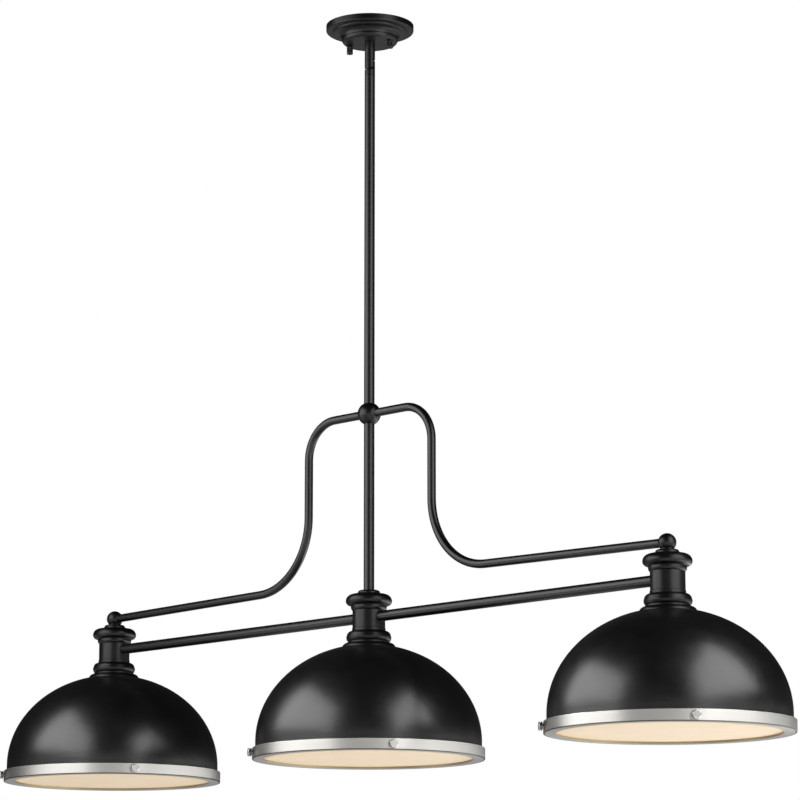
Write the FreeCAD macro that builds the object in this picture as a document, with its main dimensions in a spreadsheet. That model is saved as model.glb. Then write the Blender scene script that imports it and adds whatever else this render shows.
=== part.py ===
"""Linear island pendant: three dome shades under a bent-tube frame on a swivel canopy.

Millimetres. The origin is the centre of the canopy at the ceiling, +Z is up and
+X runs along the row of shades.
"""
import FreeCAD, Part
import math
import os

import Sketcher

# Driving sizes, each in its own cell of the sheet
SIZES = {
    # Running and seating clearances
    "tight_gap": 0.02,
    "running_gap": 0.06,
    "turning_gap": 0.10,
    "bent_end_gap": 0.30,
    "side_gap": 0.30,
    # Canopy, its strap and its screws
    "canopy_radius": 67.0,
    "canopy_depth": 28.0,
    "canopy_wall": 1.2,
    "lip_height": 10.0,
    "lip_edge": 2.4,
    "step_radius": 57.0,
    "step_depth": 3.0,
    "step_tread": 3.0,
    "cove_radius": 43.0,
    "dish_radius": 39.5,
    "cove_bulge": 0.166,
    "strap_turn": 17.0,
    "strap_length": 104.0,
    "strap_width": 22.0,
    "strap_thickness": 2.0,
    "strap_centre_hole": 5.3,
    "box_screw_circle": 88.9,
    "box_screw_hole": 2.4,
    "stud_circle": 69.85,
    "stud_radius": 2.0,
    "stud_end": 10.5,
    "stud_nut_radius": 4.0,
    "stud_nut_height": 3.0,
    "ground_screw_offset": 14.0,
    "ground_screw_head": 4.5,
    "ground_screw_length": 6.0,
    "cap_nut_radius": 4.75,
    "cap_nut_height": 12.0,
    "cap_nut_edge": 0.8,
    "cap_nut_bore_depth": 10.8,
    # Swivel
    "collar_height": 10.7,
    "shank_radius": 6.3,
    "lock_nut_radius": 11.0,
    "lock_nut_height": 6.0,
    "shank_end": 3.0,
    "lead_rise": 6.0,
    "stem_length": 15.0,
    "lap_gap": 0.2,
    "lap_end_gap": 0.3,
    "pin_radius": 1.75,
    "swivel_bore": 4.0,
    "knuckle_length": 10.0,
    "spigot_length": 9.0,
    # Rods and hub
    "rod_radius": 7.94,
    "rod_bore": 5.05,
    "upper_rod_length": 210.0,
    "lower_rod_length": 304.8,
    "coupling_length": 24.0,
    "coupling_bore": 4.0,
    "hub_radius": 17.5,
    "hub_rod_seat": 11.0,
    "hub_arm_seat": 10.5,
    "hub_wire_bore": 5.5,
    # Bent arms
    "arm_radius": 6.35,
    "arm_bore": 4.5,
    "arm_reach": 130.0,
    "top_bend": 55.0,
    "flare_bend": 108.0,
    "run_slope": 1.0,
    # Shade row
    "shade_spacing": 578.0,
    "cross_rod_bore": 6.4,
    "cross_rod_level": 35.9,
    "cross_rod_seat": 21.6,
    "hub_to_neck": 271.6,
    "ball_radius": 12.8,
    "ball_stand": 9.9,
    "ball_foot_radius": 9.6,
    "ball_seat": 6.5,
    "ball_wire_bore": 3.4,
    "washer_height": 4.6,
    "washer_radius": 16.6,
    "washer_top_radius": 12.6,
    "washer_edge": 1.6,
    "washer_bulge": 0.18,
    # Turned necks
    "neck_radius": 24.3,
    "neck_bore": 21.0,
    "neck_height": 54.4,
    "neck_foot_radius": 24.9,
    "neck_foot_height": 2.0,
    "neck_plate": 6.0,
    "ovolo_start": 28.6,
    "ovolo_radius": 26.6,
    "ovolo_level": 33.6,
    "flange_radius": 34.4,
    "flange_under_radius": 27.9,
    "flange_under_level": 36.0,
    "flange_middle_level": 43.4,
    "flange_shoulder_radius": 24.0,
    "flange_shoulder_level": 52.9,
    "ovolo_bulge": 0.14,
    "flange_top_bulge": 0.197,
    "neck_top_bulge": 0.03,
    # Mouldings between neck and shade
    "shade_collar_height": 27.0,
    "flare_radius": 39.9,
    "flare_height": 7.0,
    "waist_radius": 31.0,
    "waist_level": 9.2,
    "torus_radius": 33.4,
    "torus_level": 14.8,
    "torus_top_level": 17.9,
    "cushion_radius": 26.0,
    "cushion_level": 24.9,
    "torus_taper": 0.7,
    "torus_bulge": 0.10,
    "cushion_bulge": 0.186,
    "collar_plate": 3.0,
    # Shades
    "shade_radius": 167.0,
    "dome_rise": 144.0,
    "crown_height": 139.0,
    "skirt_height": 19.0,
    "shade_wall": 1.2,
    # Rim bands, lenses and thumbscrews
    "band_stand": 4.5,
    "band_wall": 1.8,
    "band_height": 16.5,
    "band_edge": 0.7,
    "band_lip": 1.5,
    "flange_width": 17.5,
    "flange_thickness": 1.6,
    "lens_lip_width": 1.6,
    "lens_lip_height": 3.0,
    "lens_margin": 8.5,
    "lens_thickness": 3.0,
    "lens_gap": 1.0,
    "screw_level": 8.25,
    "screw_radius": 2.0,
    "screw_neck_radius": 3.5,
    "screw_neck_length": 2.4,
    "screw_head_radius": 6.1,
    "screw_head_height": 5.4,
    "screw_head_edge": 0.6,
    "screw_flange": 2.0,
    "screw_waist_radius": 4.6,
    # Lamp holders and lamps
    "nipple_radius": 5.0,
    "nipple_bore": 3.2,
    "nipple_rise": 10.5,
    "nipple_end": 7.0,
    "shade_nut_radius": 9.5,
    "shade_nut_height": 5.0,
    "socket_radius": 19.0,
    "socket_cap_radius": 16.0,
    "socket_height": 46.0,
    "socket_step": 22.0,
    "socket_top_plate": 7.0,
    "wire_chamber_radius": 12.0,
    "wire_chamber_height": 7.0,
    "contact_plate": 4.0,
    "lamp_cap_radius": 13.0,
    "lamp_cap_length": 29.0,
    "lamp_tip_radius": 7.8,
    "lamp_tip_height": 3.9,
    "lamp_contact_gap": 0.3,
    "lamp_radius": 30.0,
    "lamp_length": 103.0,
    "lamp_shoulder_radius": 27.0,
    "lamp_shoulder_level": 60.0,
    "lamp_neck_bulge": 0.04,
    "lamp_side_bulge": 0.06,
    # Wiring
    "main_lead_radius": 2.4,
    "core_radius": 0.9,
    "core_offset": 2.75,
    "lead_split": 11.0,
    "lamp_lead_radius": 2.0,
    "lamp_lead_bend": 6.0,
    "splice_length": 9.6,
    "splice_width": 4.4,
    "splice_height": 12.0,
    "supply_level": 8.0,
    "supply_reach": 20.0,
    "connector_radius": 5.0,
    "connector_tip_radius": 3.2,
    "connector_length": 18.0,
    "connector_offset": 5.2,
}
SIDES = {"left": -1, "middle": 0, "right": 1}
# Where the thumbscrews stand round a band, and how far each band is turned, in degrees
SCREW_ANGLES = {"front": 327, "side": 235, "back": 101}
BAND_TURNS = {"left": 4, "middle": 0, "right": -5.5}
RIGHT_ANGLE = 90
# How far a cutting tool reaches, as a share of the piece it passes through
OVERSHOOT = 1.5

doc = FreeCAD.newDocument("island_pendant")
sheet = doc.addObject("Spreadsheet::Sheet", "Sizes")
for row, (alias, number) in enumerate(SIZES.items(), start=1):
    sheet.set(f"A{row}", alias)
    sheet.set(f"B{row}", str(number))
    sheet.setAlias(f"B{row}", alias)
doc.recompute()


class Dim:
    """A size as a number, with the sheet expression that gives it."""

    def __init__(self, text, value):
        self.text = text
        self.value = value

    def __add__(self, other):
        other = dim(other)
        return Dim(f"({self.text} + {other.text})", self.value + other.value)

    def __sub__(self, other):
        other = dim(other)
        return Dim(f"({self.text} - {other.text})", self.value - other.value)

    def __mul__(self, other):
        other = dim(other)
        return Dim(f"({self.text} * {other.text})", self.value * other.value)

    def __truediv__(self, other):
        other = dim(other)
        return Dim(f"({self.text} / {other.text})", self.value / other.value)

    def __radd__(self, other):
        return dim(other) + self

    def __rsub__(self, other):
        return dim(other) - self

    def __rmul__(self, other):
        return dim(other) * self

    def __neg__(self):
        return dim(0) - self


def dim(number):
    """Turn a plain number into a size, and leave a size as it is."""
    if isinstance(number, Dim):
        return number
    return Dim(f"({float(number)!r})", float(number))


def size(alias):
    """A driving size from its cell."""
    return Dim(f"Sizes.{alias}", SIZES[alias])


def sine(angle):
    """Sine of a size in degrees."""
    return Dim(f"sin({angle.text})", math.sin(math.radians(angle.value)))


def cosine(angle):
    """Cosine of a size in degrees."""
    return Dim(f"cos({angle.text})", math.cos(math.radians(angle.value)))


def tangent(angle):
    """Tangent of a size in degrees."""
    return Dim(f"tan({angle.text})", math.tan(math.radians(angle.value)))


def root(square):
    """Square root of a size."""
    return Dim(f"sqrt({square.text})", math.sqrt(square.value))


def arc_rise(angle):
    """How far an arc through an angle in degrees rises, as a share of its chord."""
    return tangent(angle / 4) / 2


QUARTER = arc_rise(dim(RIGHT_ANGLE))


def bind(thing, name, length):
    """Tie one property of an object to its expression."""
    thing.setExpression(name, dim(length).text)


def place(thing, x=0, y=0, z=0, turn=None):
    """Put an object at a position that follows the sheet."""
    spot = [dim(x), dim(y), dim(z)]
    rotation = turn or FreeCAD.Rotation()
    thing.Placement = FreeCAD.Placement(FreeCAD.Vector(*[part.value for part in spot]), rotation)
    for axis, part in zip("xyz", spot):
        bind(thing, f"Placement.Base.{axis}", part)
    return thing


def about(axis, angle):
    """A rotation by an angle in degrees about a named axis."""
    vectors = {"x": FreeCAD.Vector(1, 0, 0), "y": FreeCAD.Vector(0, 1, 0), "z": FreeCAD.Vector(0, 0, 1)}
    return FreeCAD.Rotation(vectors[axis], angle)


nodes = []


def keep(thing, name):
    """List a finished sub-part under the name of its node."""
    thing.Label = name
    nodes.append(thing)
    return thing


# Sketches
def new_sketch(body, name, plane, offset=0):
    """A sketch on one of the body's own origin planes."""
    sketch = body.newObject("Sketcher::SketchObject", f"{body.Name}_{name}")
    support = [part for part in body.Origin.OriginFeatures if part.Role == plane][0]
    sketch.AttachmentSupport = [(support, "")]
    sketch.MapMode = "FlatFace"
    offset = dim(offset)
    if offset.value:
        sketch.AttachmentOffset = FreeCAD.Placement(FreeCAD.Vector(0, 0, offset.value), FreeCAD.Rotation())
        bind(sketch, "AttachmentOffset.Base.z", offset)
    return sketch


def pin_point(sketch, geometry, end, x, y):
    """Hold one sketch point at coordinates that follow the sheet."""
    for kind, axis_line, length in (("DistanceX", -2, dim(x)), ("DistanceY", -1, dim(y))):
        if length.value == 0:
            sketch.addConstraint(Sketcher.Constraint("PointOnObject", geometry, end, axis_line))
        else:
            index = sketch.addConstraint(Sketcher.Constraint(kind, -1, 1, geometry, end, length.value))
            bind(sketch, f"Constraints[{index}]", length)


def sketch_vector(x, y):
    """A point in the sketch plane."""
    return FreeCAD.Vector(dim(x).value, dim(y).value, 0)


def bulge_middle(start, end, bulge):
    """The middle of an arc that rises to the left of its chord by a share of it."""
    (x1, y1), (x2, y2) = start, end
    bulge = dim(bulge)
    return (x1 + x2) / 2 - bulge * (y2 - y1), (y1 + y2) / 2 + bulge * (x2 - x1)


def centred_middle(start, end, centre):
    """The middle of the shorter arc about a centre."""
    centre_x, centre_y = dim(centre[0]), dim(centre[1])
    x1, y1 = start[0] - centre_x, start[1] - centre_y
    x2, y2 = end[0] - centre_x, end[1] - centre_y
    share = root(x1 * x1 + y1 * y1) / root((x1 + x2) * (x1 + x2) + (y1 + y2) * (y1 + y2))
    return centre_x + (x1 + x2) * share, centre_y + (y1 + y2) * share


def add_arc(sketch, start, end, middle):
    """An arc from start to end through a middle point."""
    first, through, last = sketch_vector(*start), sketch_vector(*middle), sketch_vector(*end)
    circle = Part.Circle(first, through, last)
    centre = circle.Center
    clockwise = (last - first).cross(through - first).z > 0
    angles = [math.atan2(point.y - centre.y, point.x - centre.x) for point in (first, last)]
    if clockwise:
        angles.reverse()
    if angles[1] < angles[0]:
        angles[1] += 2 * math.pi
    circle = Part.Circle(centre, FreeCAD.Vector(0, 0, 1), circle.Radius)
    arc = sketch.addGeometry(Part.ArcOfCircle(circle, *angles), False)
    guide = sketch.addGeometry(Part.Point(through), True)
    pin_point(sketch, guide, 1, *middle)
    sketch.addConstraint(Sketcher.Constraint("PointOnObject", guide, 1, arc))
    return (arc, 2, 1) if clockwise else (arc, 1, 2)


def add_ellipse_arc(sketch, start, end, centre_y, half_width, half_height):
    """The upper right part of an ellipse centred on the vertical axis, between two heights."""
    centre_y, half_width, half_height = dim(centre_y), dim(half_width), dim(half_height)
    centre = FreeCAD.Vector(0, centre_y.value, 0)
    side = FreeCAD.Vector(half_width.value, centre_y.value, 0)
    top = FreeCAD.Vector(0, centre_y.value + half_height.value, 0)
    ellipse = Part.Ellipse(side, top, centre)
    angles = [math.asin((dim(point[1]).value - centre.y) / half_height.value) for point in (start, end)]
    backwards = angles[0] > angles[1]
    arc = sketch.addGeometry(Part.ArcOfEllipse(ellipse, min(angles), max(angles)), False)
    sketch.exposeInternalGeometry(arc)
    long_axis, short_axis = arc + 1, arc + 2
    pin_point(sketch, long_axis, 1, half_width, centre_y)
    pin_point(sketch, short_axis, 1, 0, centre_y + half_height)
    sketch.addConstraint(Sketcher.Constraint("PointOnObject", arc, 3, -2))
    return (arc, 2, 1) if backwards else (arc, 1, 2)


def is_ellipse(bend):
    """Whether a bend is written as an ellipse."""
    return isinstance(bend, tuple) and len(bend) == 3


def draw(sketch, outline, closed=True):
    """Draw an outline of points; a third value bends the line that arrives at its point.

    A number is the rise of an arc to the left of travel, as a share of its chord.
    Two values in brackets are the centre of an arc.
    Three values in brackets are an ellipse's centre height, half width and half height.
    """
    points = [(dim(corner[0]), dim(corner[1])) for corner in outline]
    bends = [corner[2] if len(corner) > 2 else None for corner in outline]
    count = len(points)
    segments = []
    for index in range(count if closed else count - 1):
        target = (index + 1) % count
        start, end, bend = points[index], points[target], bends[target]
        if bend is None:
            line = Part.LineSegment(sketch_vector(*start), sketch_vector(*end))
            segments.append((sketch.addGeometry(line, False), 1, 2))
        elif is_ellipse(bend):
            segments.append(add_ellipse_arc(sketch, start, end, *bend))
        elif isinstance(bend, tuple):
            segments.append(add_arc(sketch, start, end, centred_middle(start, end, bend)))
        else:
            segments.append(add_arc(sketch, start, end, bulge_middle(start, end, bend)))
    for index, (geometry, first, last) in enumerate(segments):
        if is_ellipse(bends[index]) or is_ellipse(bends[(index + 1) % count]):
            pin_free_end(sketch, geometry, first, points[index])
        else:
            pin_point(sketch, geometry, first, *points[index])
        following = segments[(index + 1) % len(segments)]
        if closed or index < len(segments) - 1:
            join = Sketcher.Constraint("Coincident", geometry, last, following[0], following[1])
            sketch.addConstraint(join)
        else:
            pin_point(sketch, geometry, last, *points[index + 1])
    return [segment[0] for segment in segments]


def pin_free_end(sketch, geometry, end, point):
    """Hold the end of an ellipse arc by its height alone, because the curve gives its width."""
    height = point[1]
    if height.value == 0:
        sketch.addConstraint(Sketcher.Constraint("PointOnObject", geometry, end, -1))
    else:
        index = sketch.addConstraint(Sketcher.Constraint("DistanceY", -1, 1, geometry, end, height.value))
        bind(sketch, f"Constraints[{index}]", height)


def add_circle(sketch, x, y, radius):
    """A circle whose centre and radius follow the sheet."""
    radius = dim(radius)
    circle = Part.Circle(sketch_vector(x, y), FreeCAD.Vector(0, 0, 1), radius.value)
    geometry = sketch.addGeometry(circle, False)
    pin_point(sketch, geometry, 3, x, y)
    index = sketch.addConstraint(Sketcher.Constraint("Radius", geometry, radius.value))
    bind(sketch, f"Constraints[{index}]", radius)


# Ways of making a piece
def turned(name, outline):
    """A body turned about its own vertical axis from an outline of radius and height."""
    body = doc.addObject("PartDesign::Body", name)
    sketch = new_sketch(body, "outline", "XZ_Plane")
    draw(sketch, outline)
    revolution = body.newObject("PartDesign::Revolution", f"{name}_turned")
    revolution.Profile = sketch
    revolution.ReferenceAxis = (sketch, ["V_Axis"])
    revolution.Angle = 360
    sketch.Visibility = False
    doc.recompute()
    return body


def bored(body, plane, x, y, radius, depth, both=False, reverse=False, start=0):
    """A round hole cut into a body from one of its planes, or from a start beside it."""
    sketch = new_sketch(body, f"hole{len(body.Group)}", plane, start)
    add_circle(sketch, x, y, radius)
    pocket = body.newObject("PartDesign::Pocket", f"{body.Name}_bore{len(body.Group)}")
    pocket.Profile = sketch
    pocket.Midplane = both
    pocket.Reversed = reverse
    bind(pocket, "Length", depth)
    doc.recompute()
    return pocket


def piped(name, route, radius, bore=None):
    """A tube or cord along a flat route of straights and arcs that starts along X."""
    body = doc.addObject("PartDesign::Body", name)
    path = new_sketch(body, "route", "XZ_Plane")
    draw(path, route, closed=False)
    section = new_sketch(body, "section", "YZ_Plane", route[0][0])
    add_circle(section, 0, route[0][1], radius)
    if bore is not None:
        add_circle(section, 0, route[0][1], bore)
    doc.recompute()
    pipe = body.newObject("PartDesign::AdditivePipe", f"{name}_pipe")
    pipe.Profile = section
    pipe.Spine = (path, [f"Edge{number + 1}" for number in range(len(path.Shape.Edges))])
    doc.recompute()
    return body


def cylinder(name, radius, height, x=0, y=0, z=0, turn=None):
    """A plain cylinder that stands on the given point."""
    thing = doc.addObject("Part::Cylinder", name)
    bind(thing, "Radius", radius)
    bind(thing, "Height", height)
    return place(thing, x, y, z, turn)


def block(name, length, width, height, x=0, y=0, z=0, turn=None):
    """A plain box with its lowest corner at the given point."""
    thing = doc.addObject("Part::Box", name)
    bind(thing, "Length", length)
    bind(thing, "Width", width)
    bind(thing, "Height", height)
    return place(thing, x, y, z, turn)


def cut(name, base, *tools):
    """One solid less others."""
    thing = doc.addObject("Part::Cut", name)
    thing.Base = base
    thing.Tool = tools[0] if len(tools) == 1 else joined(f"{name}_tools", *tools)
    return thing


def joined(name, *things):
    """Several solids as one piece, or as a group where they lie apart."""
    thing = doc.addObject("Part::MultiFuse", name)
    thing.Shapes = list(things)
    return thing


def shared(name, first, second):
    """What two solids have in common."""
    thing = doc.addObject("Part::Common", name)
    thing.Base = first
    thing.Tool = second
    return thing


def tube(name, radius, bore, height, x=0, y=0, z=0, turn=None):
    """A round tube that stands on the given point."""
    outer = cylinder(f"{name}_outer", radius, height, x, y, z, turn)
    inner = cylinder(f"{name}_inner", bore, height, x, y, z, turn)
    return cut(name, outer, inner)


# Levels below the ceiling, each from the one above it
dish = -size("canopy_depth")
collar_end = dish - size("collar_height")
stem_end = collar_end - size("turning_gap") - size("stem_length")
pin_level = stem_end - size("rod_radius") - size("lap_end_gap")
knuckle_shoulder = pin_level - size("rod_radius") - size("lap_end_gap")
knuckle_end = knuckle_shoulder - size("knuckle_length")
rod_joint = knuckle_end - size("upper_rod_length")
lower_rod_end = rod_joint - size("lower_rod_length")
hub_level = lower_rod_end - size("hub_rod_seat")
neck_top = hub_level - size("hub_to_neck")
neck_foot = neck_top - size("neck_height")
crown = neck_foot - size("shade_collar_height")
dome_level = crown - size("crown_height")
skirt_end = dome_level - size("skirt_height")
band_foot = skirt_end - size("lens_gap") - size("lens_thickness") - size("lens_lip_height")
cross_rod_height = neck_top - size("cross_rod_level")
washer_top = neck_top + size("washer_height")
ball_level = washer_top + size("ball_stand")
shade_nut_top = crown - size("shade_wall")
socket_top = shade_nut_top - size("shade_nut_height")
thread_top = neck_top + size("nipple_rise")
thread_foot = socket_top - size("nipple_end")
contact_level = socket_top - size("socket_top_plate") - size("wire_chamber_height")
lamp_top = contact_level - size("contact_plate") - size("lamp_contact_gap")

# The band's reach, which follows the shade's
band_radius = size("shade_radius") + size("band_stand")


# Canopy, strap and screws at the ceiling
def canopy():
    """A spun cover: rounded lip, one step, a cove and a flat dish."""
    wall = size("canopy_wall")
    lip, edge = size("canopy_radius"), size("lip_edge")
    step, cove, flat = size("step_radius"), size("cove_radius"), size("dish_radius")
    lip_end = -size("lip_height")
    drop, bulge = size("step_depth"), size("cove_bulge")
    step_end = lip_end - drop
    tread_end = step - drop - size("step_tread")
    cove_end = (step_end + dish) / 2
    hole = size("shank_radius") + size("running_gap")
    outline = [
        (lip, 0),
        (lip, lip_end + edge),
        (lip - edge, lip_end, QUARTER),
        (step, lip_end),
        (step - drop, step_end, QUARTER),
        (tread_end, step_end),
        (cove, cove_end, -bulge),
        (flat, dish, bulge),
        (hole, dish),
        (hole, dish + wall),
        (flat - wall / 2, dish + wall),
        (cove - wall, cove_end + wall / 2, -bulge),
        (tread_end - wall / 2, step_end + wall, bulge),
        (step - drop - wall / 2, step_end + wall),
        (step - wall, lip_end + wall, -QUARTER),
        (lip - edge, lip_end + wall),
        (lip - wall, lip_end + edge, -QUARTER),
        (lip - wall, 0),
    ]
    body = turned("canopy", outline)
    pocket_holes = new_sketch(body, "stud_holes", "XY_Plane")
    for way in (-1, 1):
        add_circle(pocket_holes, *stud_spot(way), size("stud_radius") + size("side_gap"))
    pocket = body.newObject("PartDesign::Pocket", "canopy_stud_holes")
    pocket.Profile = pocket_holes
    bind(pocket, "Length", size("canopy_depth") * 2)
    keep(body, "canopy")


def stud_spot(way):
    """Where a canopy stud stands, on one side of the centre or the other."""
    reach = size("stud_circle") / 2 * way
    return reach * cosine(size("strap_turn")), reach * sine(size("strap_turn"))


def mounting_strap():
    """The flat bar that screws to the ceiling box, with its holes on one line."""
    body = doc.addObject("PartDesign::Body", "mounting_strap")
    sketch = new_sketch(body, "outline", "XY_Plane")
    half_width = size("strap_width") / 2
    straight = size("strap_length") / 2 - half_width
    draw(sketch, [
        (straight, half_width, -QUARTER),
        (-straight, half_width),
        (-size("strap_length") / 2, 0, -QUARTER),
        (-straight, -half_width, -QUARTER),
        (straight, -half_width),
        (size("strap_length") / 2, 0, -QUARTER),
    ])
    add_circle(sketch, 0, 0, size("strap_centre_hole"))
    for way in (-1, 1):
        add_circle(sketch, size("box_screw_circle") / 2 * way, 0, size("box_screw_hole"))
        add_circle(sketch, size("stud_circle") / 2 * way, 0, size("stud_radius") + size("running_gap"))
    add_circle(sketch, size("ground_screw_offset"), 0, size("stud_radius") + size("running_gap"))
    pad = body.newObject("PartDesign::Pad", "mounting_strap_plate")
    pad.Profile = sketch
    pad.Reversed = True
    bind(pad, "Length", size("strap_thickness"))
    body.Placement = FreeCAD.Placement(FreeCAD.Vector(), about("z", SIZES["strap_turn"]))
    body.setExpression("Placement.Rotation.Angle", "Sizes.strap_turn")
    keep(body, "mounting_strap")


def strap_screws():
    """Two long studs with their nuts, the earth screw and the two cap nuts."""
    under_strap = -size("strap_thickness")
    nut_end = under_strap - size("stud_nut_height")
    stud_end = dish - size("stud_end")
    studs = []
    for side, way in (("left", -1), ("right", 1)):
        x, y = stud_spot(way)
        rod = cylinder(f"stud_{side}_rod", size("stud_radius"), -stud_end, x, y, stud_end)
        nut = doc.addObject("Part::Prism", f"stud_{side}_nut")
        nut.Polygon = 6
        bind(nut, "Circumradius", size("stud_nut_radius"))
        bind(nut, "Height", size("stud_nut_height"))
        place(nut, x, y, nut_end)
        studs.append(joined(f"stud_{side}", rod, nut))
        bottom, bore_end = -size("cap_nut_height"), -size("cap_nut_bore_depth")
        edge = size("cap_nut_edge")
        bore = size("stud_radius") + size("running_gap")
        cap = turned(f"cap_nut_{side}", [
            (bore, 0),
            (bore, bore_end),
            (0, bore_end),
            (0, bottom),
            (size("cap_nut_radius") - edge, bottom),
            (size("cap_nut_radius"), bottom + edge),
            (size("cap_nut_radius"), 0),
        ])
        keep(place(cap, x, y, dish - size("turning_gap")), f"cap_nut_{side}")
    keep(joined("canopy_studs", *studs), "canopy_studs")
    reach = size("ground_screw_offset")
    x = reach * cosine(size("strap_turn"))
    y = reach * sine(size("strap_turn"))
    length, thickness = size("ground_screw_length"), size("strap_thickness")
    shank = cylinder("ground_shank", size("stud_radius"), length, x, y, -length)
    head_height = (length - thickness) / 2
    head = cylinder("ground_head", size("ground_screw_head"), head_height, x, y, -thickness - head_height)
    keep(joined("ground_screw", shank, head), "ground_screw")


# Swivel under the canopy
def swivel():
    """Collar, turning stem, lock nut, pin and the half-lapped knuckle under it."""
    rod, bore = size("rod_radius"), size("swivel_bore")
    shank = size("shank_radius")
    collar = tube("stem_collar", rod, shank + size("running_gap"), size("collar_height"), z=collar_end)
    keep(collar, "stem_collar")

    nut_foot = dish + size("canopy_wall") + size("turning_gap")
    nut = doc.addObject("Part::Prism", "lock_nut_hexagon")
    nut.Polygon = 6
    bind(nut, "Circumradius", size("lock_nut_radius"))
    bind(nut, "Height", size("lock_nut_height"))
    place(nut, z=nut_foot)
    nut_bore = cylinder("lock_nut_bore", shank + size("tight_gap"), size("lock_nut_height"), z=nut_foot)
    keep(cut("stem_lock_nut", nut, nut_bore), "stem_lock_nut")

    shank_top = nut_foot + size("lock_nut_height") + size("shank_end")
    body_top = collar_end - size("turning_gap")
    stem_shank = cylinder("stem_shank", shank, shank_top - body_top, z=body_top)
    stem_body = cylinder("stem_body", rod, body_top - stem_end, z=stem_end)
    upper_lug = half_lug("stem_lug", -1, pin_level, stem_end - pin_level)
    solid = joined("stem_solid", stem_shank, stem_body, upper_lug)
    lug_foot = pin_level - rod * OVERSHOOT
    wire_bore = cylinder("stem_wire_bore", bore, shank_top - lug_foot, z=lug_foot)
    pin_bore = crosswise_pin("stem_pin_bore", size("pin_radius") + size("tight_gap"))
    keep(cut("swivel_stem", solid, wire_bore, pin_bore), "swivel_stem")

    knuckle_body = cylinder("knuckle_body", rod, size("knuckle_length"), z=knuckle_end)
    spigot_end = knuckle_end - size("spigot_length")
    spigot = cylinder("knuckle_spigot", size("nipple_radius"), size("spigot_length"), z=spigot_end)
    lower_lug = half_lug("knuckle_lug", 1, knuckle_shoulder, pin_level - knuckle_shoulder)
    solid = joined("knuckle_solid", knuckle_body, spigot, lower_lug)
    lug_top = pin_level + rod * OVERSHOOT
    wire_bore = cylinder("knuckle_wire_bore", bore, lug_top - spigot_end, z=spigot_end)
    pin_bore = crosswise_pin("knuckle_pin_bore", size("pin_radius") + size("running_gap"))
    keep(cut("swivel_knuckle", solid, wire_bore, pin_bore), "swivel_knuckle")

    pin = crosswise_pin("swivel_pin", size("pin_radius"))
    length = rod - size("lap_gap")
    bind(pin, "Height", length * 2)
    place(pin, y=length, z=pin_level, turn=about("x", RIGHT_ANGLE))
    keep(pin, "swivel_pin")


def crosswise_pin(name, radius):
    """A round bar along Y through the pivot, longer than the knuckle is wide."""
    reach = size("rod_radius") * OVERSHOOT
    return cylinder(name, radius, reach * 2, y=reach, z=pin_level, turn=about("x", RIGHT_ANGLE))


def half_lug(name, way, foot, height):
    """Half of a round lug, on one side of the lap, with its free end rounded about the pin."""
    rod, gap = size("rod_radius"), size("lap_gap") / 2
    shank = block(f"{name}_shank", rod * 2, rod, height, -rod, gap if way > 0 else -rod - gap, foot)
    eye_end = rod + gap if way > 0 else -gap
    eye = cylinder(f"{name}_eye", rod, rod, y=eye_end, z=pin_level, turn=about("x", RIGHT_ANGLE))
    reach = rod * OVERSHOOT
    bar = cylinder(f"{name}_bar", rod, reach * 2, z=pin_level - reach)
    return shared(name, joined(f"{name}_blank", shank, eye), bar)


# Rods, hub and arms
def rods_and_hub():
    """The drop rods with the coupling between them, the hub ball and the stem to the middle neck."""
    rod, bore = size("rod_radius"), size("rod_bore")
    keep(tube("rod_upper", rod, bore, size("upper_rod_length"), z=rod_joint), "rod_upper")
    keep(tube("rod_lower", rod, bore, size("lower_rod_length"), z=lower_rod_end), "rod_lower")
    length = size("coupling_length")
    low = rod_joint - length / 2
    keep(tube("rod_coupling", size("nipple_radius"), size("coupling_bore"), length, z=low), "rod_coupling")
    lower_seat = hub_level - size("hub_rod_seat")
    keep(tube("stem_lower", rod, bore, lower_seat - neck_top, z=neck_top), "stem_lower")

    ball = doc.addObject("Part::Sphere", "hub_sphere")
    bind(ball, "Radius", size("hub_radius"))
    place(ball, z=hub_level)
    radius, gap = size("hub_radius"), size("running_gap")
    rod_seat, arm_seat = size("hub_rod_seat"), size("hub_arm_seat")
    tools = [
        cylinder("hub_top_seat", rod + gap, radius, z=hub_level + rod_seat),
        cylinder("hub_low_seat", rod + gap, radius, z=hub_level - rod_seat - radius),
        cylinder("hub_upright_bore", size("hub_wire_bore"), radius * 2, z=hub_level - radius),
        crossways("hub_cross_bore", size("arm_bore"), -radius, radius * 2, hub_level),
        crossways("hub_right_seat", size("arm_radius") + gap, arm_seat, radius, hub_level),
        crossways("hub_left_seat", size("arm_radius") + gap, -arm_seat - radius, radius, hub_level),
    ]
    keep(cut("hub_ball", ball, *tools), "hub_ball")


def crossways(name, radius, start, length, level, y=0):
    """A round bar along X from a start."""
    return cylinder(name, radius, length, start, y, level, turn=about("y", RIGHT_ANGLE))


def arm_route(start, end):
    """The centre line of a bent arm in the frame's plane, from the hub's centre."""
    slope = size("run_slope")
    reach, top, flare = size("arm_reach"), size("top_bend"), size("flare_bend")
    end_x, end_z = size("shade_spacing"), ball_level - hub_level
    centre_x = reach + flare
    centre_z = end_z + (end_x - centre_x) * tangent(slope) + flare / cosine(slope)
    return [
        (start, dim(0)),
        (reach - top, dim(0)),
        (reach, -top, QUARTER),
        (reach, centre_z),
        (centre_x - flare * sine(slope), centre_z - flare * cosine(slope), -arc_rise(RIGHT_ANGLE - slope)),
        (end_x - end * cosine(slope), end_z + end * sine(slope)),
    ]


def arms():
    """Two bent tubes from the hub to the end balls, one turned half round from the other."""
    for side in ("left", "right"):
        route = arm_route(size("hub_arm_seat"), size("ball_seat"))
        arm = piped(f"arm_{side}", route, size("arm_radius"), size("arm_bore"))
        keep(place(arm, z=hub_level, turn=half_turn(side)), f"arm_{side}")


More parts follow.
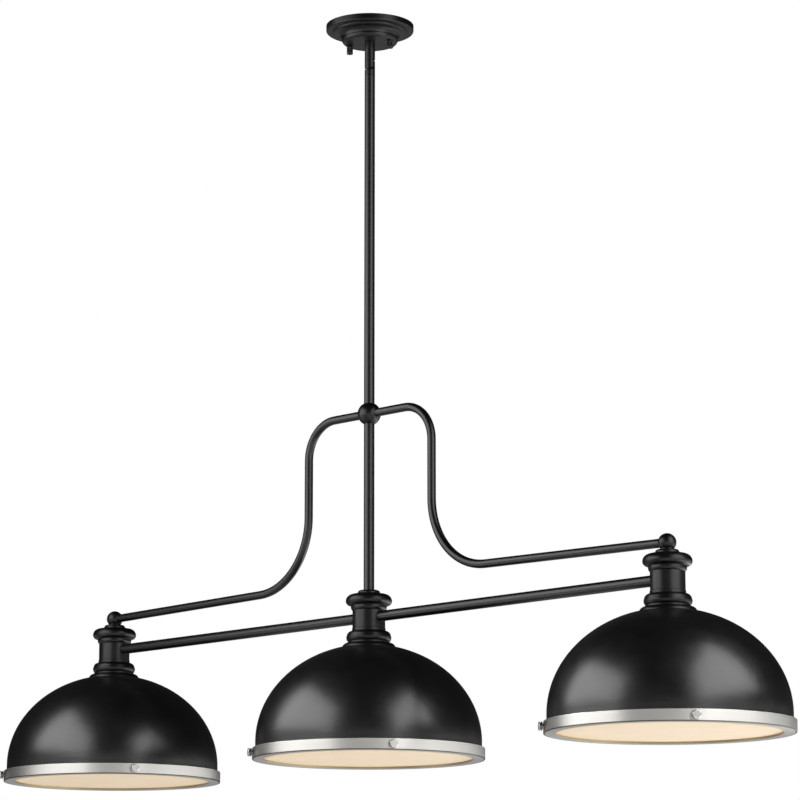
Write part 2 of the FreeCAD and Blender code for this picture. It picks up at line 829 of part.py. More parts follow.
def half_turn(side):
    """The rotation that carries a right-hand piece to its side."""
    return about("z", 180 if side == "left" else 0)


def end_balls():
    """Balls on short feet that join the arms to the outer necks."""
    radius, seat, foot = size("ball_radius"), size("ball_seat"), size("ball_foot_radius")
    wire, gap = size("ball_wire_bore"), size("bent_end_gap")
    thread = size("nipple_radius") + size("running_gap")
    foot_level = -size("ball_stand")
    thread_end = thread_top - ball_level + size("side_gap")
    foot_top = -root(radius * radius - foot * foot)
    for side in ("left", "right"):
        name = f"end_ball_{side}"
        way = SIDES[side]
        body = turned(name, [
            (thread, foot_level),
            (foot, foot_level),
            (foot, foot_top),
            (radius, 0, (0, 0)),
            (0, radius, (0, 0)),
            (0, wire),
            (wire, wire),
            (wire, thread_end),
            (thread, thread_end),
        ])
        towards_hub = way < 0
        start = (gap - seat) * way
        bored(body, "YZ_Plane", 0, 0, size("arm_radius") + gap, radius, reverse=towards_hub, start=start)
        bored(body, "YZ_Plane", 0, 0, size("arm_bore"), radius, reverse=towards_hub)
        keep(place(body, size("shade_spacing") * way, z=ball_level), name)


def neck_washers():
    """Tapered rings on the necks: one round the stem and two under the end balls."""
    foot, top = size("washer_radius"), size("washer_top_radius")
    rings = []
    for side, way in SIDES.items():
        bore = size("nipple_radius") if way else size("rod_radius")
        ring = turned(f"neck_washer_{side}", [
            (bore + size("running_gap"), 0),
            (foot, 0),
            (foot, size("washer_edge")),
            (top, size("washer_height"), -size("washer_bulge")),
            (bore + size("running_gap"), size("washer_height")),
        ])
        rings.append(place(ring, size("shade_spacing") * way, z=neck_top))
    keep(joined("neck_washers", *rings), "neck_washers")


def cross_rods():
    """Two level tubes between the necks."""
    seat, spacing = size("cross_rod_seat"), size("shade_spacing")
    length = spacing - seat * 2
    for name, start in (("cross_rod_left", seat - spacing), ("cross_rod_right", seat)):
        outer = crossways(f"{name}_outer", size("rod_radius"), start, length, cross_rod_height)
        inner = crossways(f"{name}_inner", size("cross_rod_bore"), start, length, cross_rod_height)
        keep(cut(name, outer, inner), name)


# Necks, mouldings, shades
def neck(side):
    """A turned neck: foot ring, plain drum, ovolo, and a rolled flange with a closed top."""
    drum, bore, height = size("neck_radius"), size("neck_bore"), size("neck_height")
    thread = size("nipple_radius") + size("running_gap")
    foot, foot_height = size("neck_foot_radius"), size("neck_foot_height")
    ovolo = size("ovolo_radius")
    under, under_level = size("flange_under_radius"), size("flange_under_level")
    plate_foot = height - size("neck_plate")
    step = foot - drum
    body = turned(f"neck_{side}", [
        (bore, 0),
        (foot, 0),
        (foot, foot_height),
        (drum, foot_height + step),
        (drum, size("ovolo_start")),
        (ovolo, size("ovolo_level"), -size("ovolo_bulge")),
        (ovolo, under_level),
        (under, under_level),
        (size("flange_radius"), size("flange_middle_level"), -QUARTER),
        (size("flange_shoulder_radius"), size("flange_shoulder_level"), -size("flange_top_bulge")),
        (size("washer_radius"), height, -size("neck_top_bulge")),
        (thread, height),
        (thread, plate_foot),
        (bore, plate_foot),
    ])
    hole = size("rod_radius") + size("running_gap")
    level = height - size("cross_rod_level")
    way, depth = SIDES[side], foot * OVERSHOOT
    if way == 0:
        bored(body, "YZ_Plane", 0, level, hole, depth * 2, both=True)
    else:
        bored(body, "YZ_Plane", 0, level, hole, depth, reverse=way < 0)
    keep(place(body, size("shade_spacing") * way, z=neck_foot), f"neck_{side}")


def shade_collar(side):
    """The mouldings between neck and shade: flare, torus and cushion."""
    foot = size("neck_foot_radius")
    height, plate = size("shade_collar_height"), size("collar_plate")
    thread = size("nipple_radius") + size("running_gap")
    torus, bulge = size("torus_radius"), size("torus_bulge")
    body = turned(f"shade_collar_{side}", [
        (thread, 0),
        (size("flare_radius"), 0),
        (size("waist_radius"), size("flare_height"), -QUARTER),
        (size("waist_radius"), size("waist_level")),
        (torus, size("torus_level"), -bulge),
        (torus - size("torus_taper"), size("torus_top_level"), -bulge),
        (size("cushion_radius"), size("cushion_level"), -size("cushion_bulge")),
        (foot, size("cushion_level")),
        (foot, height),
        (size("neck_bore"), height),
        (size("neck_bore"), plate),
        (thread, plate),
    ])
    keep(place(body, size("shade_spacing") * SIDES[side], z=crown), f"shade_collar_{side}")


def shade(side):
    """A thin spun dome: flat crown, half an ellipse and a short straight skirt."""
    radius, rise, wall = size("shade_radius"), size("dome_rise"), size("shade_wall")
    height, skirt = size("crown_height"), -size("skirt_height")
    hole = size("nipple_radius") + size("running_gap")
    inner_radius, inner_rise, inner_height = radius - wall, rise - wall, height - wall
    crown_radius = radius * root(1 - (height / rise) * (height / rise))
    inner_crown = inner_radius * root(1 - (inner_height / inner_rise) * (inner_height / inner_rise))
    body = turned(f"shade_{side}", [
        (hole, height),
        (crown_radius, height),
        (radius, 0, (0, radius, rise)),
        (radius, skirt),
        (inner_radius, skirt),
        (inner_radius, 0),
        (inner_crown, inner_height, (0, inner_radius, inner_rise)),
        (hole, inner_height),
    ])
    keep(place(body, size("shade_spacing") * SIDES[side], z=dome_level), f"shade_{side}")


# Rim bands with their lenses and thumbscrews
def rim_band(side):
    """A metal ring with a lip at its top edge, a flange below and three screw holes."""
    outer, wall, height = band_radius, size("band_wall"), size("band_height")
    edge, inner = size("band_edge"), band_radius - size("flange_width")
    lip_radius = size("shade_radius") + size("side_gap")
    body = turned(f"rim_band_{side}", [
        (inner, 0),
        (outer - edge, 0),
        (outer, edge, -QUARTER),
        (outer, height - edge),
        (outer - edge, height, -QUARTER),
        (lip_radius, height),
        (lip_radius, height - size("band_lip")),
        (outer - wall, height - size("band_lip")),
        (outer - wall, size("flange_thickness")),
        (inner + size("lens_lip_width"), size("flange_thickness")),
        (inner + size("lens_lip_width"), size("lens_lip_height")),
        (inner, size("lens_lip_height")),
    ])
    hole_radius = size("screw_radius") + size("running_gap")
    for angle in SCREW_ANGLES.values():
        hole = bored(body, "XZ_Plane", 0, size("screw_level"), hole_radius, outer * OVERSHOOT)
        heading = about("y", angle + BAND_TURNS[side] - RIGHT_ANGLE)
        hole.Profile[0].AttachmentOffset = FreeCAD.Placement(FreeCAD.Vector(), heading)
    keep(place(body, size("shade_spacing") * SIDES[side], z=band_foot), f"rim_band_{side}")


def lens(side):
    """A flat frosted disc that lies on the band's inner lip."""
    radius, level = band_radius - size("lens_margin"), band_foot + size("lens_lip_height")
    x = size("shade_spacing") * SIDES[side]
    keep(cylinder(f"lens_{side}", radius, size("lens_thickness"), x, z=level), f"lens_{side}")


def thumbscrew(side, spot):
    """A screw with a waisted round head that points at the shade's axis through the band."""
    angle = SCREW_ANGLES[spot] + BAND_TURNS[side]
    shank, head = size("screw_radius"), size("screw_head_radius")
    tip = size("side_gap") - size("band_stand")
    stand, edge = size("screw_neck_length"), size("screw_head_edge")
    head_top = stand + size("screw_head_height")
    flange, waist = size("screw_flange"), size("screw_waist_radius")
    name = f"thumbscrew_{side}_{spot}"
    body = turned(name, [
        (0, tip),
        (shank, tip),
        (shank, size("turning_gap")),
        (size("screw_neck_radius"), size("turning_gap")),
        (size("screw_neck_radius"), stand),
        (head - edge, stand),
        (head, stand + edge),
        (head, stand + flange),
        (waist, stand + flange),
        (waist, head_top - flange),
        (head, head_top - flange),
        (head, head_top - edge),
        (head - edge, head_top, -QUARTER),
        (0, head_top),
    ])
    x = size("shade_spacing") * SIDES[side] + band_radius * math.cos(math.radians(angle))
    y = band_radius * math.sin(math.radians(angle))
    turn = about("z", angle).multiply(about("y", RIGHT_ANGLE))
    keep(place(body, x, y, band_foot + size("screw_level"), turn), name)


# Lamp holders
def threaded_nipples():
    """Three hollow threaded rods that clamp neck, mouldings, shade and socket together."""
    radius, bore = size("nipple_radius"), size("nipple_bore")
    length, spacing = thread_top - thread_foot, size("shade_spacing")
    rods = [
        tube(f"nipple_{side}", radius, bore, length, spacing * way, z=thread_foot)
        for side, way in SIDES.items()
    ]
    keep(joined("threaded_nipples", *rods), "threaded_nipples")


def shade_nuts():
    """Hexagon nuts under the crowns."""
    nuts = []
    for side, way in SIDES.items():
        x = size("shade_spacing") * way
        nut = doc.addObject("Part::Prism", f"shade_nut_{side}_hexagon")
        nut.Polygon = 6
        bind(nut, "Circumradius", size("shade_nut_radius"))
        bind(nut, "Height", size("shade_nut_height"))
        place(nut, x, z=socket_top)
        thread = size("nipple_radius") + size("running_gap")
        hole = cylinder(f"shade_nut_{side}_bore", thread, size("shade_nut_height"), x, z=socket_top)
        nuts.append(cut(f"shade_nut_{side}", nut, hole))
    keep(joined("shade_nuts", *nuts), "shade_nuts")


def socket(side):
    """A stepped lamp holder with a wire chamber above and the lamp's bore below."""
    thread = size("nipple_radius") + size("running_gap")
    bore = size("lamp_cap_radius") + size("running_gap")
    chamber_top = -size("socket_top_plate")
    chamber_foot = chamber_top - size("wire_chamber_height")
    contact_foot = chamber_foot - size("contact_plate")
    foot, step = -size("socket_height"), -size("socket_step")
    shoulder = size("socket_radius") - size("socket_cap_radius")
    body = turned(f"socket_{side}", [
        (thread, 0),
        (size("socket_cap_radius") - shoulder, 0),
        (size("socket_cap_radius"), -shoulder, QUARTER),
        (size("socket_cap_radius"), step),
        (size("socket_radius"), step - shoulder),
        (size("socket_radius"), foot),
        (bore, foot),
        (bore, contact_foot),
        (0, contact_foot),
        (0, chamber_foot),
        (size("wire_chamber_radius"), chamber_foot),
        (size("wire_chamber_radius"), chamber_top),
        (thread, chamber_top),
    ])
    keep(place(body, size("shade_spacing") * SIDES[side], z=socket_top), f"socket_{side}")


def bulb(side):
    """A lamp with a screw cap, a flared neck and a round end."""
    cap, cap_end = size("lamp_cap_radius"), -size("lamp_cap_length")
    body = turned(f"bulb_{side}", [
        (0, 0),
        (size("lamp_tip_radius"), 0),
        (cap, -size("lamp_tip_height")),
        (cap, cap_end),
        (size("lamp_shoulder_radius"), -size("lamp_shoulder_level"), -size("lamp_neck_bulge")),
        (size("lamp_radius"), size("lamp_radius") - size("lamp_length"), size("lamp_side_bulge")),
        (0, -size("lamp_length"), QUARTER),
    ])
    keep(place(body, size("shade_spacing") * SIDES[side], z=lamp_top), f"bulb_{side}")


# Wiring
def wiring():
    """The lead through stem and rods, the cores past the pivot, the splice and the lamp leads."""
    main, core = size("main_lead_radius"), size("core_radius")
    lead_top = dish + size("canopy_wall") + size("lock_nut_height") + size("lead_rise")
    split_top = pin_level + size("lead_split")
    split_foot = pin_level - size("lead_split")
    keep(cylinder("lead_upper", main, lead_top - split_top, z=split_top), "lead_upper")
    cores = [
        cylinder(f"core_{index}", core, split_top - split_foot, size("core_offset") * way, z=split_foot)
        for index, way in enumerate((-1, 1))
    ]
    keep(joined("swivel_leads", *cores), "swivel_leads")
    splice_top = hub_level + size("splice_height") / 2
    keep(cylinder("lead_main", main, split_foot - splice_top, z=splice_top), "lead_main")

    splice_length, splice_width = size("splice_length"), size("splice_width")
    splice = block("wire_splice", splice_length, splice_width, size("splice_height"),
                   -splice_length / 2, -splice_width / 2, hub_level - size("splice_height") / 2)
    lamp = size("lamp_lead_radius")
    splice_foot = hub_level - size("splice_height") / 2
    pieces = [splice, cylinder("lamp_lead_middle", lamp, splice_foot - contact_level, z=contact_level)]
    bend = size("lamp_lead_bend")
    for side in ("left", "right"):
        route = arm_route(splice_length / 2, bend)
        rise = arc_rise(RIGHT_ANGLE - size("run_slope"))
        route.append((size("shade_spacing"), ball_level - hub_level - bend, rise))
        route.append((size("shade_spacing"), contact_level - hub_level))
        lead = piped(f"lamp_lead_{side}", route, lamp)
        pieces.append(place(lead, z=hub_level, turn=half_turn(side)))
    keep(joined("lamp_wiring", *pieces), "lamp_wiring")
    supply_wiring(lead_top)


def supply_wiring(lead_top):
    """The lead's tail in the canopy, with the two screw-on connectors, at right angles to the strap."""
    main, reach = size("main_lead_radius"), size("supply_reach")
    level = -size("supply_level")
    start = lead_top + size("side_gap")
    bend = level - start
    body = doc.addObject("PartDesign::Body", "supply_tail")
    path = new_sketch(body, "route", "XZ_Plane")
    draw(path, [(0, start), (bend, level, QUARTER), (reach, level)], closed=False)
    section = new_sketch(body, "section", "XY_Plane", start)
    add_circle(section, 0, 0, main)
    doc.recompute()
    pipe = body.newObject("PartDesign::AdditivePipe", "supply_tail_pipe")
    pipe.Profile = section
    pipe.Spine = (path, ["Edge1", "Edge2"])
    pieces = [body]
    for index, way in enumerate((-1, 1)):
        connector = doc.addObject("Part::Cone", f"connector_{index}")
        bind(connector, "Radius1", size("connector_radius"))
        bind(connector, "Radius2", size("connector_tip_radius"))
        bind(connector, "Height", size("connector_length"))
        place(connector, reach, size("connector_offset") * way, level, about("y", RIGHT_ANGLE))
        pieces.append(connector)
    group = joined("supply_wiring", *pieces)
    group.Placement = FreeCAD.Placement(FreeCAD.Vector(), about("z", SIZES["strap_turn"] + RIGHT_ANGLE))
    group.setExpression("Placement.Rotation.Angle", f"Sizes.strap_turn + {RIGHT_ANGLE}")
    keep(group, "supply_wiring")


canopy()
mounting_strap()
strap_screws()
swivel()
rods_and_hub()
arms()
end_balls()
neck_washers()
cross_rods()
for side in SIDES:
    neck(side)
    shade_collar(side)
    shade(side)
    rim_band(side)
    lens(side)
    for spot in SCREW_ANGLES:
        thumbscrew(side, spot)
threaded_nipples()
shade_nuts()
for side in SIDES:
    socket(side)
    bulb(side)
wiring()
doc.recompute()

# Check every object, then write each sub-part
for thing in doc.Objects:
    if "Invalid" in thing.State or "Error" in thing.State:
        raise RuntimeError(f"{thing.Label} did not recompute: {thing.State}")
for thing in nodes:
    if thing.Shape.isNull() or not thing.Shape.isValid() or not thing.Shape.Solids:
        raise RuntimeError(f"{thing.Label} has no valid solid")
os.makedirs("parts", exist_ok=True)
for thing in nodes:
    thing.Shape.exportStep(f"parts/{thing.Label}.step")
print(len(nodes), "sub-parts written")
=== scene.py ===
"""Looks for the linear island pendant: finishes, detail pieces, studio and camera. Metres."""
import math
import operator

import bmesh
import bpy
from mathutils import Matrix, Vector

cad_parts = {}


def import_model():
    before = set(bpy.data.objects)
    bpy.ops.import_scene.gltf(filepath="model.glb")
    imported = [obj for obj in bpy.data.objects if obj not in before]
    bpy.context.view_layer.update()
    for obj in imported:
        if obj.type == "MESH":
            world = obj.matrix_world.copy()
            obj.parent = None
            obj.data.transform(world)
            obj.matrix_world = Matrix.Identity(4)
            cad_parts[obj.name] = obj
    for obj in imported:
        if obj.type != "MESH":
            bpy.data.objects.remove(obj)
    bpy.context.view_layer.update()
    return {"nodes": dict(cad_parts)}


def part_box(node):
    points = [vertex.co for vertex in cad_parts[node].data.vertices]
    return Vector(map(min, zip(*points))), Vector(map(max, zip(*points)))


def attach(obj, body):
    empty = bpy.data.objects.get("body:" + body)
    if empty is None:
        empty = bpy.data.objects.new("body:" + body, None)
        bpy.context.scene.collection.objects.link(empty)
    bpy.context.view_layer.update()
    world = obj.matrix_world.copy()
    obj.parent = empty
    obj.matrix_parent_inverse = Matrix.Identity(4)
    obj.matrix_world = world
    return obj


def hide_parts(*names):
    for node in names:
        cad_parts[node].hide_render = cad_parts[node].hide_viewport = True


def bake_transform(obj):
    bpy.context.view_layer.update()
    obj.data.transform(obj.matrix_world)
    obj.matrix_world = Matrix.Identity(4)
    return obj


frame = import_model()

nodes = frame["nodes"]

MM = 0.001
QUARTER = math.pi / 2
SIDES = {"left": -1, "middle": 0, "right": 1}
# Where the thumbscrews stand round a band, and how far each band is turned, in degrees
SCREW_ANGLES = {"front": 327, "side": 235, "back": 101}
BAND_TURNS = {"left": 4, "middle": 0, "right": -5.5}
# How high the thumbscrews stand in their band, and how far the mounting strap is turned
SCREW_LEVEL = 8.25 * MM
STRAP_TURN = math.radians(17.0)
# Just past the radius of a canopy stud, and of the opening inside a band's lip
STUD_REACH = 2.4 * MM
LIP_REACH = 157.0 * MM

SPACING = sum(corner.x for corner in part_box("lens_right")) / 2
BAND_LOW, BAND_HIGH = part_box("rim_band_middle")
BAND_RADIUS = (BAND_HIGH.x - BAND_LOW.x) / 2
STUD_SPOTS = [sum(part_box(f"cap_nut_{side}"), Vector()) / 2 for side in ("left", "right")]

# The camera of the photograph: its heading, its upward tilt, its place and its lens in millimetres
CAMERA_TURN = math.radians(44.64)
CAMERA_RISE = math.radians(11.14)
CAMERA_SPOT = Vector((3.5109, -3.4896, -1.5595))
FOCAL_LENGTH = 151.2
SENSOR_WIDTH = 36.0


# Shader graphs. A colour is three numbers, and a noise's scale is in waves per metre.
class Graph:
    """The node tree of a material or a world, with short calls for adding and joining nodes."""

    def __init__(self, owner):
        owner.use_nodes = True
        self.owner = owner
        self.tree = owner.node_tree
        self.tree.nodes.clear()

    def feed(self, socket, value):
        """Join a socket to another one, or set it to a number, a vector or a colour."""
        if isinstance(value, bpy.types.NodeSocket):
            self.tree.links.new(value, socket)
        elif socket.type == "RGBA":
            socket.default_value = (*value, 1.0)
        else:
            socket.default_value = value

    def add(self, kind, settings=None, **inputs):
        """Add a node. An input goes by its name, with _ in place of a space, or by its number, as in _0."""
        made = self.tree.nodes.new(kind)
        for key, value in (settings or {}).items():
            setattr(made, key, value)
        for key, value in inputs.items():
            self.feed(made.inputs[int(key[1:]) if key[0] == "_" else key.replace("_", " ")], value)
        return made

    def math(self, operation, first, second=0.0):
        """One step of arithmetic."""
        return self.add("ShaderNodeMath", {"operation": operation}, _0=first, _1=second).outputs[0]

    def vector(self, operation, first, second):
        """One step of vector arithmetic, with its outputs Vector and Value."""
        return self.add("ShaderNodeVectorMath", {"operation": operation}, _0=first, _1=second).outputs

    def place(self):
        """Where a point is on the object, in metres."""
        return self.add("ShaderNodeTexCoord").outputs["Object"]

    def noise(self, scale, detail=2.0, vector=None):
        """Noise from 0 to 1, with its middle at a half."""
        spot = vector or self.place()
        return self.add("ShaderNodeTexNoise", Scale=scale, Detail=detail, Vector=spot).outputs["Fac"]

    def between(self, factor, low, high, start=0.25, end=0.75):
        """A number carried from the range start to end into the range low to high, and kept inside it."""
        made = self.add("ShaderNodeMapRange", Value=factor, From_Min=start, From_Max=end,
                        To_Min=low, To_Max=high)
        return made.outputs["Result"]

    def blend(self, factor, first, second):
        """A mix of two colours."""
        return self.add("ShaderNodeMix", {"data_type": "RGBA"}, _0=factor, _6=first, _7=second).outputs[2]

    def bump(self, height, strength, distance, **under):
        """A bump from a height, on another one where it is given as Normal."""
        made = self.add("ShaderNodeBump", Strength=strength, Distance=distance, Height=height, **under)
        return made.outputs["Normal"]

    def finish(self, shader, output="ShaderNodeOutputMaterial"):
        """Close the graph with its shader, and give back the material or world."""
        self.add(output, Surface=shader.outputs[0])
        return self.owner

    def surface(self, **inputs):
        """Close the graph with one all-round shader."""
        return self.finish(self.add("ShaderNodeBsdfPrincipled", **inputs))


def material(name):
    """The graph of a new material."""
    return Graph(bpy.data.materials.new(name))


def grey(level):
    """A neutral colour."""
    return (level, level, level)


def painted(name, dark, light, rough, peel=0.05, specular=0.5):
    """Powder-coated metal: faint mottling, uneven gloss and a fine orange peel."""
    graph = material(name)
    mottle = graph.noise(38.0, 3.0)
    grain = graph.noise(1150.0)
    gloss = graph.between(mottle, rough - 0.025, rough + 0.025)
    wave = graph.bump(graph.noise(210.0, 1.0), peel * 0.6, 0.4 * MM)
    return graph.surface(
        Base_Color=graph.blend(graph.between(mottle, 0.0, 1.0, 0.3, 0.7), dark, light),
        Roughness=graph.math("ADD", gloss, graph.between(grain, -0.02, 0.02)),
        Normal=graph.bump(grain, peel, 0.2 * MM, Normal=wave), Specular_IOR_Level=specular)


def plated(name, low, high, rough, scale=500.0):
    """Plated or turned metal with a fine uneven polish."""
    graph = material(name)
    cloud = graph.noise(scale, 3.0)
    grain = graph.noise(min(scale * 4, 2000.0), 1.0)
    return graph.surface(
        Base_Color=graph.blend(graph.between(cloud, 0.0, 1.0), low, high), Metallic=1.0,
        Roughness=graph.between(cloud, rough - 0.05, rough + 0.05),
        Normal=graph.bump(grain, 0.05, 0.1 * MM))


def threaded(name, low, high, rough, pitch):
    """Plated upright rod with a thread cut along it, its roots coloured darker than its crests as painted
    shade.
    """
    graph = material(name)
    cloud = graph.noise(300.0, 3.0)
    height = graph.add("ShaderNodeSeparateXYZ", Vector=graph.place()).outputs["Z"]
    ridge = graph.math("SINE", graph.math("MULTIPLY", height, math.tau / pitch))
    # Painted shade: the colour follows the thread, darker in its roots than on its crests.
    return graph.surface(
        Base_Color=graph.blend(graph.between(ridge, 0.0, 1.0, -1.0, 1.0), low, high), Metallic=1.0,
        Roughness=graph.between(cloud, rough - 0.05, rough + 0.05),
        Normal=graph.bump(ridge, 0.5, 0.3 * MM))


def moulded(name, low, high, rough, scale=700.0):
    """Moulded plastic or rubber with a fine matt grain."""
    graph = material(name)
    grain = graph.noise(scale, 3.0)
    return graph.surface(
        Base_Color=graph.blend(graph.between(grain, 0.0, 1.0), low, high),
        Roughness=graph.between(grain, rough - 0.04, rough + 0.04),
        Normal=graph.bump(grain, 0.08, 0.2 * MM), Specular_IOR_Level=0.4)


def from_axis(graph, x):
    """A point's offset from a shade's upright axis, the parts of it, and the distance from the axis."""
    offset = graph.vector("SUBTRACT", graph.place(), (x, 0.0, 0.0))["Vector"]
    parts = graph.add("ShaderNodeSeparateXYZ", Vector=offset).outputs
    squares = [graph.math("MULTIPLY", parts[name], parts[name]) for name in "XY"]
    return offset, parts, graph.math("POWER", graph.math("ADD", *squares), 0.5)


def brushing(graph, parts, reach, along, across, detail=2.0):
    """Noise drawn out round an axis, by its waves per radian along the lines and per metre across them."""
    angle = graph.math("ARCTAN2", parts["Y"], parts["X"])
    spread = graph.add(
        "ShaderNodeCombineXYZ", X=graph.math("MULTIPLY", angle, along),
        Y=graph.math("MULTIPLY", parts["Z"], across), Z=graph.math("MULTIPLY", reach, across))
    return graph.noise(1.0, detail, spread.outputs[0])


def brushed_metal(graph, offset, **inputs):
    """Close a material as metal that is brushed round an axis."""
    along = graph.vector("CROSS_PRODUCT", (0.0, 0.0, 1.0), offset)["Vector"]
    return graph.surface(Metallic=1.0, Anisotropic=0.5, Anisotropic_Rotation=0.25, Tangent=along, **inputs)


def nickel(name, x):
    """Brushed nickel, with painted shade as a dark line along the band's lower corner and a painted
    highlight as a bright line at its top.
    """
    graph = material(name)
    offset, parts, reach = from_axis(graph, x)
    height = parts["Z"]
    fine = brushing(graph, parts, reach, 9.0, 5200.0)
    broad = brushing(graph, parts, reach, 2.2, 900.0, 3.0)
    mixed = graph.math("ADD", graph.math("MULTIPLY", broad, 0.6), graph.math("MULTIPLY", fine, 0.4))
    lines = graph.between(mixed, 0.0, 1.0, 0.35, 0.65)
    metal = graph.blend(lines, (0.65, 0.635, 0.60), (0.70, 0.685, 0.65))
    # Painted shade: the lower corner of the band's outer face is coloured dark, as shade falls there.
    low = graph.between(height, 1.0, 0.0, BAND_LOW.z + 1.1 * MM, BAND_LOW.z + 1.6 * MM)
    outside = graph.between(reach, 0.0, 1.0, BAND_RADIUS - 3.1 * MM, BAND_RADIUS - 1.9 * MM)
    metal = graph.blend(graph.math("MULTIPLY", low, outside), metal, (0.11, 0.11, 0.09))
    # Painted highlight: a thin bright line along the band's top edge.
    high = graph.between(height, 0.0, 1.0, BAND_HIGH.z - 1.3 * MM, BAND_HIGH.z - 0.8 * MM)
    metal = graph.blend(high, metal, (0.92, 0.91, 0.88))
    return brushed_metal(
        graph, offset, Base_Color=metal, Roughness=graph.between(mixed, 0.44, 0.36, 0.35, 0.65),
        Normal=graph.bump(fine, 0.04, 0.1 * MM))


def lit_lip(name, x):
    """The band's inner lip: nickel with the lens's amber light painted into its colour, and a faint painted
    glow of its own.
    """
    graph = material(name)
    offset, parts, reach = from_axis(graph, x)
    fine = brushing(graph, parts, reach, 6.0, 4000.0)
    # Painted light: the lens's amber glow is in the lip's colour and in a faint emission of its own.
    metal = graph.blend(graph.between(fine, 0.0, 1.0), (0.30, 0.235, 0.12), (0.38, 0.30, 0.16))
    return brushed_metal(graph, offset, Base_Color=metal, Roughness=graph.between(fine, 0.34, 0.46),
                         Emission_Color=(0.62, 0.46, 0.20), Emission_Strength=0.04)


def frosted_lens(name, x):
    """A frosted disc with the lamp's light painted in as a glow of its own, brightest over the lamp."""
    graph = material(name)
    reach = from_axis(graph, x)[-1]
    frost = graph.noise(1600.0)
    cloud = graph.noise(22.0)
    # Painted light: the lens glows with the lamp's light, a little darker and more amber towards its rim.
    outer = graph.between(reach, 0.0, 1.0, 120.0 * MM, 158.0 * MM)
    return graph.surface(
        Base_Color=graph.blend(graph.between(cloud, 0.0, 1.0), (0.88, 0.78, 0.64), (0.92, 0.82, 0.69)),
        Roughness=graph.between(frost, 0.50, 0.60), Normal=graph.bump(frost, 0.10, 0.2 * MM),
        Emission_Color=graph.blend(outer, (0.80, 0.66, 0.44), (0.74, 0.58, 0.34)), Emission_Strength=0.20,
        Transmission_Weight=0.25, Specular_IOR_Level=0.2)


def enamel():
    """The shade's warm white inside, with the lamp's light on it painted in as a glow of its own."""
    graph = material("inner_enamel")
    mottle = graph.noise(60.0, 3.0)
    # Painted light: the lamp's light on the inside is given as the enamel's own glow.
    return graph.surface(
        Base_Color=graph.blend(graph.between(mottle, 0.0, 1.0), (0.80, 0.76, 0.68), (0.86, 0.82, 0.74)),
        Roughness=graph.between(mottle, 0.36, 0.44), Normal=graph.bump(graph.noise(900.0), 0.05, 0.2 * MM),
        Emission_Color=(0.86, 0.72, 0.47), Emission_Strength=0.30)


def frosted_lamp():
    """The lamp's frosted envelope."""
    graph = material("lamp_frost")
    frost = graph.noise(1400.0)
    return graph.surface(
        Base_Color=graph.blend(frost, (0.92, 0.88, 0.80), (0.96, 0.93, 0.86)),
        Roughness=graph.between(frost, 0.45, 0.55), Normal=graph.bump(frost, 0.08, 0.2 * MM),
        Emission_Color=(1.0, 0.80, 0.50), Emission_Strength=2.0)


# Finishes
BLACK = painted("satin_black", grey(0.0007), grey(0.0013), 0.315, specular=0.9)
BLACK_TUBE = painted("satin_black_tube", grey(0.0008), grey(0.0014), 0.33, 0.04)
BLACK_TURNED = painted("satin_black_turned", grey(0.0008), grey(0.0014), 0.36, 0.04, specular=0.38)
BLACK_CANOPY = painted("satin_black_canopy", grey(0.0008), grey(0.0014), 0.36, 0.04, specular=0.30)
PRIMER = painted("grey_primer", grey(0.07), grey(0.10), 0.50)
GREEN = painted("ground_green", (0.02, 0.17, 0.05), (0.03, 0.21, 0.07), 0.35)
ENAMEL = enamel()
NICKEL = {side: nickel(f"brushed_nickel_{side}", SPACING * way) for side, way in SIDES.items()}
LIP = {side: lit_lip(f"lit_lip_{side}", SPACING * way) for side, way in SIDES.items()}
LENS = {side: frosted_lens(f"frosted_lens_{side}", SPACING * way) for side, way in SIDES.items()}
SCREW = plated("satin_nickel", (0.64, 0.63, 0.60), (0.74, 0.725, 0.70), 0.30, 1500.0)
# Painted shade: a darker copy of the screws' nickel, for all of a thumbscrew below the rounded edge of its
# face
SCREW_PAINTED_SHADE = plated("satin_nickel_painted_shade", (0.15, 0.147, 0.14), (0.22, 0.215, 0.205), 0.34)
ZINC = plated("bright_zinc", (0.56, 0.57, 0.58), (0.70, 0.71, 0.72), 0.32, 160.0)
THREAD = threaded("zinc_thread", (0.50, 0.50, 0.48), (0.64, 0.64, 0.61), 0.36, 0.8 * MM)
HOLDER = moulded("holder_black", grey(0.010), grey(0.020), 0.42)
JACKET = moulded("lead_jacket", grey(0.010), grey(0.018), 0.55, 1200.0)
CORE_WHITE = moulded("core_white", (0.66, 0.66, 0.64), (0.74, 0.74, 0.72), 0.45, 1200.0)
CONNECTOR = moulded("connector_orange", (0.62, 0.20, 0.02), (0.74, 0.27, 0.04), 0.45, 900.0)
LAMP = frosted_lamp()
LAMP_CAP = plated("lamp_cap", (0.66, 0.62, 0.54), (0.78, 0.74, 0.66), 0.28, 260.0)


def dress(node, *finishes, choose=None):
    """Give a CAD node its finishes, and pick one for each face."""
    mesh = nodes[node].data
    mesh.materials.clear()
    for finish in finishes:
        mesh.materials.append(finish)
    for face in mesh.polygons:
        face.material_index = choose(face) if choose else 0


def looks_in(face, lean=0.2):
    """Whether a face of the canopy looks up, or towards the canopy's axis."""
    return int(face.normal.z > lean or face.normal.xy.dot(face.center.xy) < -lean * face.center.xy.length)


def on_nut(face):
    """Whether a face of the studs belongs to a nut."""
    return int(min((face.center.xy - spot.xy).length for spot in STUD_SPOTS) > STUD_REACH)


def looks_at(x, z):
    """A test of whether a face looks towards a point in the plane of the shades' axes."""
    return lambda face: int(face.normal.dot(face.center - Vector((x, 0.0, z))) < 0)


def on_lip(x, foot):
    """A test of whether a face of a band belongs to its inner lip."""
    axis = Vector((x, 0.0))
    return lambda face: int(face.center.z > foot and (face.center.xy - axis).length < LIP_REACH)


